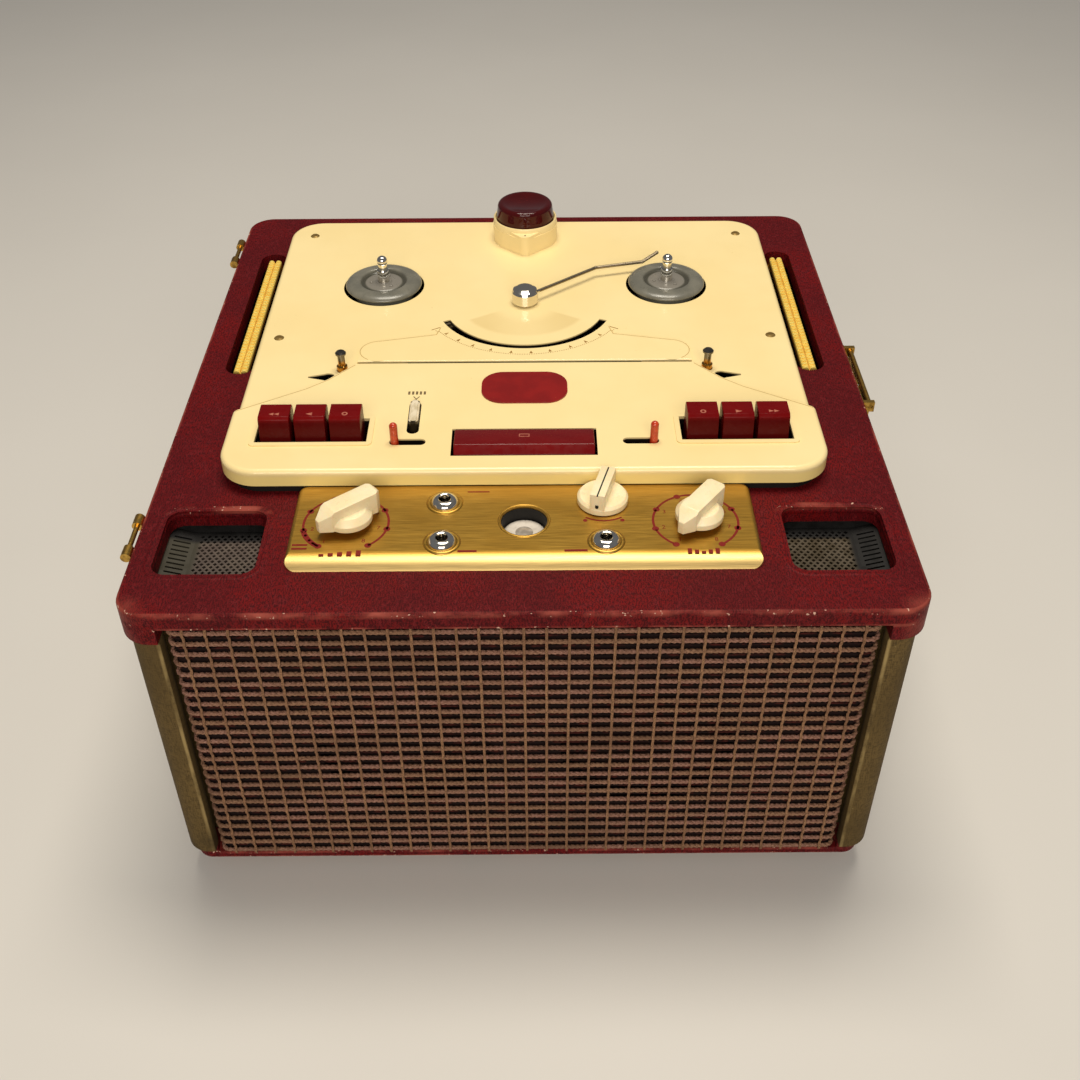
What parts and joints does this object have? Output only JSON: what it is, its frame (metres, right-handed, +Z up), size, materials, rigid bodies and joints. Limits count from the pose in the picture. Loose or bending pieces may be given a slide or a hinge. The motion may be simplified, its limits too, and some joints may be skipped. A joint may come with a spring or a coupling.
{
  "type": "reel-to-reel tape recorder",
  "caption": "Portable open-reel tape recorder in a cloth-covered case: cream deck with reel tables, piano keys and gauge, gilt control panel and woven loudspeaker grille.",
  "frame": {"origin": "on the ground under the middle of the case", "axes": "+X to the user's right, +Y to the rear, +Z up"},
  "size_m": [0.4261, 0.4384, 0.255],
  "materials": {
    "burgundy_cloth": "grained bookcloth, worn at the edges",
    "beige_cloth": "woven, matt",
    "cream_enamel": "satin enamel",
    "gilt": "satin gilt",
    "brass": "dull brass",
    "maroon_plastic": "gloss",
    "clear_red": "clear moulded",
    "ivory_plastic": "satin",
    "orange_plastic": "gloss",
    "black_plastic": "matt",
    "black_rubber": "matt",
    "grey_metal": "satin grey",
    "steel": "plated",
    "chrome": "bright",
    "grille_cord": "twisted cord",
    "grille_strand": "flat strand",
    "plywood": "stained",
    "glass": "clear"
  },
  "bodies": {
    "cabinet": {"case_walls": "beige_cloth", "top_board": "burgundy_cloth", "base_board": "burgundy_cloth", "rubber_feet": "black_rubber", "baffle_board": "plywood", "grille_cords": "grille_cord", "grille_strands": "grille_strand", "vent_trays": "grey_metal", "side_vents": "gilt", "deck_plinth": "black_plastic", "deck_plate": "cream_enamel", "front_cover": "cream_enamel", "head_cover": "cream_enamel", "speed_housing": "cream_enamel", "badge_plate": "maroon_plastic", "deck_screws": "brass", "guide_posts": "chrome", "control_panel": "gilt", "jack_sockets": "chrome", "eye_tube": "glass", "eye_shield": "black_plastic", "control_pots": "steel", "selector_switch": "steel", "deck_chassis": "steel", "tape_heads": "steel", "drive_motors": "steel", "amplifier_chassis": "steel", "valves": "glass", "transformers": "steel", "loudspeakers": "grey_metal", "hinge_leaves": "brass", "latch_plate": "brass", "handle_brackets": "brass", "mains_inlet": "black_plastic"},
    "reel_left": {"reel_table_left": "grey_metal", "spindle_left": "chrome"},
    "reel_right": {"reel_table_right": "grey_metal", "spindle_right": "chrome"},
    "speed_control": {"speed_knob": "clear_red"},
    "tape_gauge": {"gauge_arm": "chrome"},
    "key_left_fast": {"fast_key_left": "maroon_plastic"},
    "key_left_play": {"play_key_left": "maroon_plastic"},
    "key_left_record": {"record_key_left": "maroon_plastic"},
    "key_right_record": {"record_key_right": "maroon_plastic"},
    "key_right_play": {"play_key_right": "maroon_plastic"},
    "key_right_fast": {"fast_key_right": "maroon_plastic"},
    "stop": {"stop_bar": "maroon_plastic"},
    "lever_left": {"record_lever_left": "orange_plastic"},
    "lever_right": {"record_lever_right": "orange_plastic"},
    "pause": {"pause_key": "ivory_plastic"},
    "volume": {"volume_knob": "ivory_plastic"},
    "tone": {"tone_knob": "ivory_plastic"},
    "selector": {"selector_knob": "ivory_plastic"},
    "latch": {"latch_lever": "brass"},
    "carry_handle": {"handle": "black_plastic"},
    "wheel_left": {"flywheel_left": "steel"},
    "wheel_right": {"flywheel_right": "steel"},
    "pinch_left": {"pinch_roller_left": "black_rubber"},
    "pinch_right": {"pinch_roller_right": "black_rubber"}
  },
  "joints": [
    {"name": "reel_left_turn", "type": "hinge", "parent": "cabinet", "child": "reel_left", "pos_m": [-0.095, 0.09125, 0.228], "axis": [0, 0, 1], "continuous": true},
    {"name": "reel_right_turn", "type": "hinge", "parent": "cabinet", "child": "reel_right", "pos_m": [0.095, 0.09125, 0.228], "axis": [0, 0, 1], "continuous": true},
    {"name": "speed_turn", "type": "hinge", "parent": "cabinet", "child": "speed_control", "pos_m": [0, 0.16125, 0.242], "axis": [0, 0, 1], "range_deg": [-45, 45]},
    {"name": "gauge_swing", "type": "hinge", "parent": "cabinet", "child": "tape_gauge", "pos_m": [0, 0.06775, 0.228], "axis": [0, 0, 1], "range_deg": [0, 45]},
    {"name": "key_left_fast_press", "type": "hinge", "parent": "cabinet", "child": "key_left_fast", "pos_m": [-0.1403, -0.04175, 0.2195], "axis": [1, 0, 0], "range_deg": [0, 8], "stiffness_Nm_per_rad": 0.6, "springref_deg": -8.59},
    {"name": "key_left_play_press", "type": "hinge", "parent": "cabinet", "child": "key_left_play", "pos_m": [-0.1204, -0.04175, 0.2195], "axis": [1, 0, 0], "range_deg": [0, 8], "stiffness_Nm_per_rad": 0.6, "springref_deg": -8.59},
    {"name": "key_left_record_press", "type": "hinge", "parent": "cabinet", "child": "key_left_record", "pos_m": [-0.1005, -0.04175, 0.2195], "axis": [1, 0, 0], "range_deg": [0, 8], "stiffness_Nm_per_rad": 0.6, "springref_deg": -8.59},
    {"name": "key_right_record_press", "type": "hinge", "parent": "cabinet", "child": "key_right_record", "pos_m": [0.1005, -0.04175, 0.2195], "axis": [1, 0, 0], "range_deg": [0, 8], "stiffness_Nm_per_rad": 0.6, "springref_deg": -8.59},
    {"name": "key_right_play_press", "type": "hinge", "parent": "cabinet", "child": "key_right_play", "pos_m": [0.1204, -0.04175, 0.2195], "axis": [1, 0, 0], "range_deg": [0, 8], "stiffness_Nm_per_rad": 0.6, "springref_deg": -8.59},
    {"name": "key_right_fast_press", "type": "hinge", "parent": "cabinet", "child": "key_right_fast", "pos_m": [0.1403, -0.04175, 0.2195], "axis": [1, 0, 0], "range_deg": [0, 8], "stiffness_Nm_per_rad": 0.6, "springref_deg": -8.59},
    {"name": "stop_press", "type": "hinge", "parent": "cabinet", "child": "stop", "pos_m": [0, -0.05125, 0.216], "axis": [1, 0, 0], "range_deg": [0, 4.5], "stiffness_Nm_per_rad": 1, "springref_deg": -5.73},
    {"name": "lever_left_slide", "type": "slide", "parent": "cabinet", "child": "lever_left", "axis": [1, 0, 0], "range_m": [0, 0.0145]},
    {"name": "lever_right_slide", "type": "slide", "parent": "cabinet", "child": "lever_right", "axis": [-1, 0, 0], "range_m": [0, 0.0145]},
    {"name": "pause_slide", "type": "slide", "parent": "cabinet", "child": "pause", "axis": [0, -1, 0], "range_m": [0, 0.006]},
    {"name": "volume_turn", "type": "hinge", "parent": "cabinet", "child": "volume", "pos_m": [-0.093, -0.15325, 0.212], "axis": [0, 0, 1], "range_deg": [-290, 0]},
    {"name": "tone_turn", "type": "hinge", "parent": "cabinet", "child": "tone", "pos_m": [0.093, -0.15325, 0.212], "axis": [0, 0, 1], "range_deg": [-285, 10]},
    {"name": "selector_turn", "type": "hinge", "parent": "cabinet", "child": "selector", "pos_m": [0.0425, -0.13525, 0.212], "axis": [0, 0, 1], "range_deg": [-30, 30]},
    {"name": "latch_swing", "type": "hinge", "parent": "cabinet", "child": "latch", "pos_m": [0.2103, 0, 0.212], "axis": [0, -1, 0], "range_deg": [0, 95]},
    {"name": "handle_swing", "type": "hinge", "parent": "cabinet", "child": "carry_handle", "pos_m": [0.209, 0, 0.134], "axis": [0, -1, 0], "range_deg": [0, 95]},
    {"name": "wheel_left_turn", "type": "hinge", "parent": "cabinet", "child": "wheel_left", "pos_m": [-0.062, -0.00225, 0.202], "axis": [0, 0, 1], "continuous": true},
    {"name": "wheel_right_turn", "type": "hinge", "parent": "cabinet", "child": "wheel_right", "pos_m": [0.062, -0.00225, 0.202], "axis": [0, 0, 1], "continuous": true},
    {"name": "pinch_left_turn", "type": "hinge", "parent": "cabinet", "child": "pinch_left", "pos_m": [-0.062, -0.02125, 0.212], "axis": [0, 0, 1], "continuous": true},
    {"name": "pinch_right_turn", "type": "hinge", "parent": "cabinet", "child": "pinch_right", "pos_m": [0.062, -0.02125, 0.212], "axis": [0, 0, 1], "continuous": true}
  ]
}
